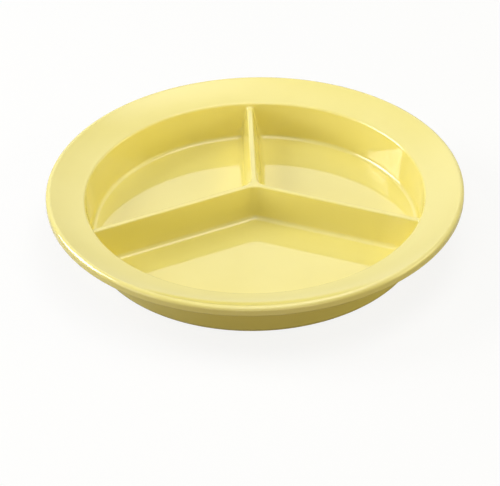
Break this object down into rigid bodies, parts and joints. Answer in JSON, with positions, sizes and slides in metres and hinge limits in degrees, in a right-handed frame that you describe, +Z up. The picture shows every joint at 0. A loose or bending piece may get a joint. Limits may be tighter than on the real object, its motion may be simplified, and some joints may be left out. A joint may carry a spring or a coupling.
{
  "type": "divided compartment plate",
  "caption": "Round glossy plate with a broad rising rim, a turned-down lip, a deep bowl and low drafted dividers that part it into compartments, standing on a low foot ring.",
  "frame": {"origin": "centre of the base, on the plane that the foot ring stands on", "axes": "+Z up out of the mouth; the rear divider lies along +Y, so the large compartment is towards -Y; +X to the right"},
  "size_m": [0.26, 0.26, 0.0372],
  "materials": {
    "plate_plastic": "pale yellow, hard and glossy, coloured right through"
  },
  "bodies": {
    "root": {"rim": "plate_plastic", "rim_lip": "plate_plastic", "bowl_wall": "plate_plastic", "foot_ring": "plate_plastic", "floor_front": "plate_plastic", "floor_back_left": "plate_plastic", "floor_back_right": "plate_plastic", "divider_left": "plate_plastic", "divider_right": "plate_plastic", "divider_back": "plate_plastic", "divider_hub": "plate_plastic"}
  },
  "joints": []
}
